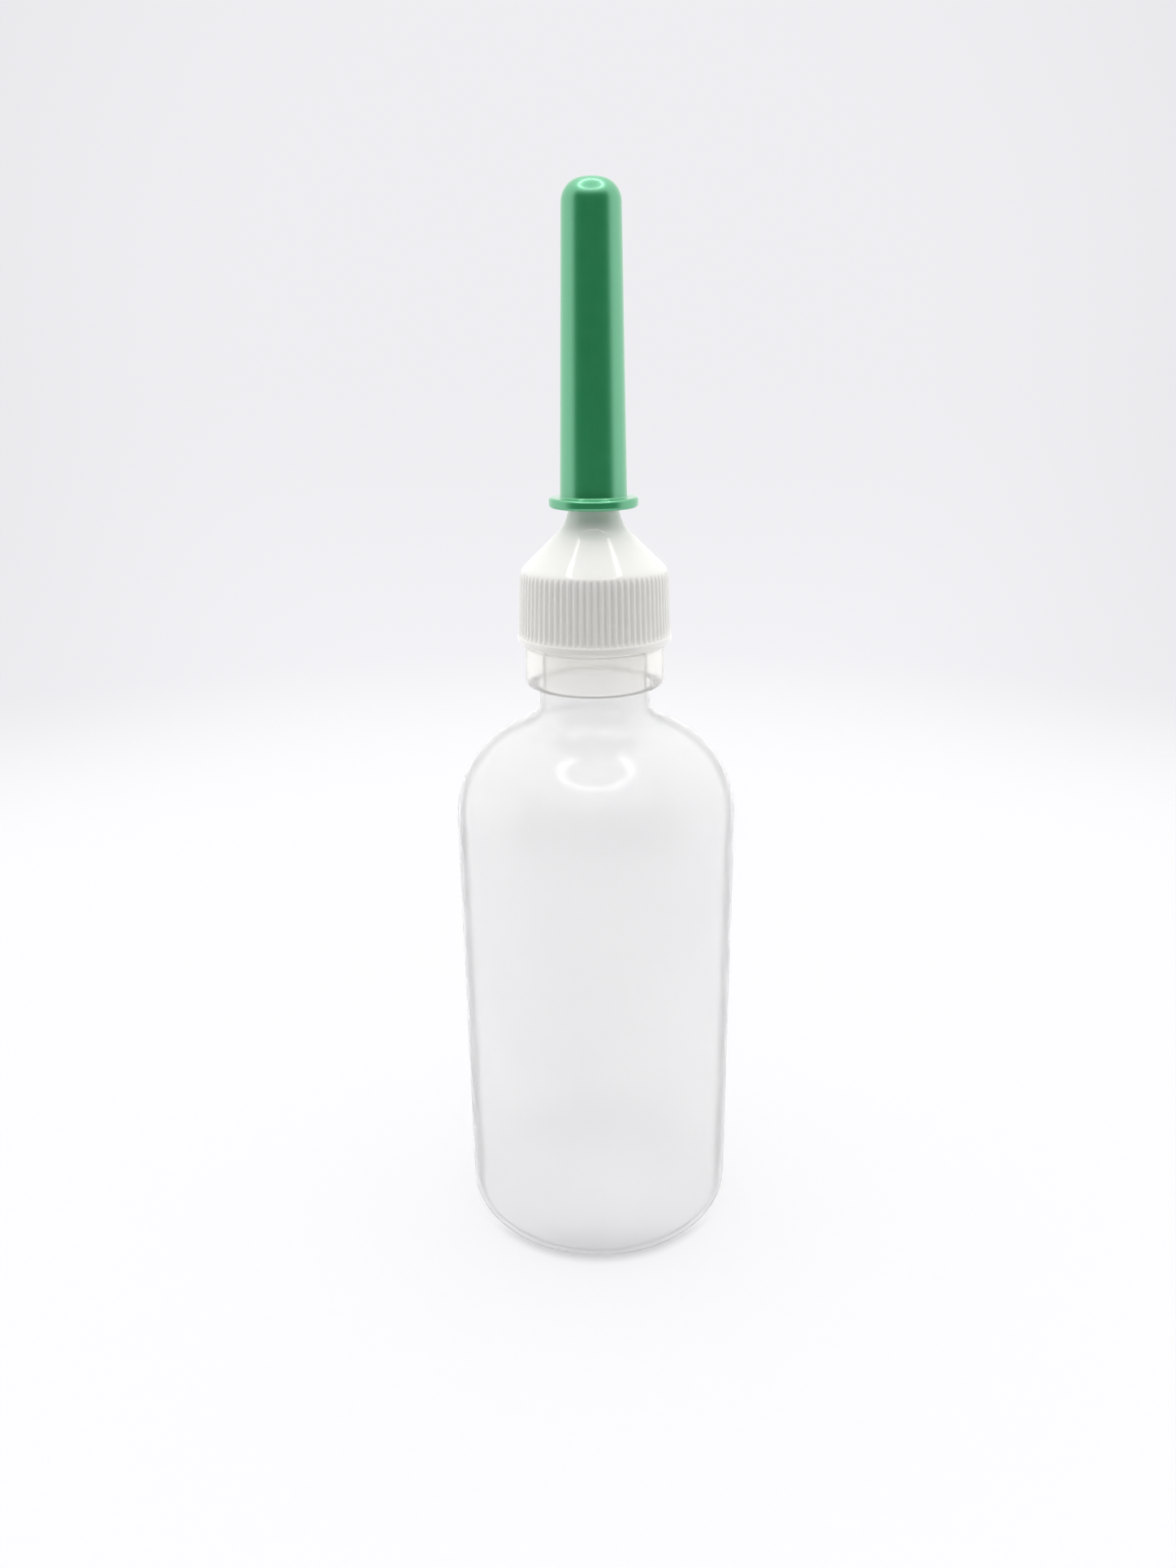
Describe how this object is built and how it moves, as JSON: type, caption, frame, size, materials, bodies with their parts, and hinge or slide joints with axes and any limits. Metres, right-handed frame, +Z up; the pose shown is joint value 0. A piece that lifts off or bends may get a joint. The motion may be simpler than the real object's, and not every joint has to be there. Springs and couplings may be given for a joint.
{
  "type": "squeeze dosing bottle",
  "caption": "Milky squeeze bottle with a ribbed screw cap, a long applicator nozzle with a flap valve, and a flanged pull-off nozzle cover.",
  "frame": {"origin": "centre of the base, on the surface that the bottle stands on", "axes": "+Z up along the bottle's axis, towards the nozzle cover's closed end; +X and +Y across it"},
  "size_m": [0.06, 0.06, 0.2204],
  "materials": {
    "bottle_plastic": "satin",
    "liner_foam": "matt",
    "cap_plastic": "semi-gloss",
    "seat_plastic": "semi-gloss",
    "valve_rubber": "matt",
    "nozzle_plastic": "satin",
    "cover_plastic": "semi-gloss"
  },
  "bodies": {
    "bottle": {"bottle": "bottle_plastic"},
    "liner": {"sealing_liner": "liner_foam"},
    "cap": {"screw_cap": "cap_plastic", "valve_seat": "seat_plastic", "valve_disc": "valve_rubber", "nozzle_tube": "nozzle_plastic"},
    "cover": {"nozzle_cover": "cover_plastic"}
  },
  "joints": [
    {"name": "cap_turn", "type": "hinge", "parent": "liner", "child": "cap", "pos_m": [0, 0, 0.15], "axis": [0, 0, 1], "range_deg": [0, 1440]},
    {"name": "cap_lift", "type": "slide", "parent": "bottle", "child": "liner", "axis": [0, 0, 1], "range_m": [0, 0.017]},
    {"name": "cover_pull", "type": "slide", "parent": "cap", "child": "cover", "axis": [0, 0, 1], "range_m": [0, 0.06]}
  ],
  "couplings": [
    {"joint": "cap_lift", "follows": "cap_turn", "m_per_rad": 0.0006737}
  ]
}
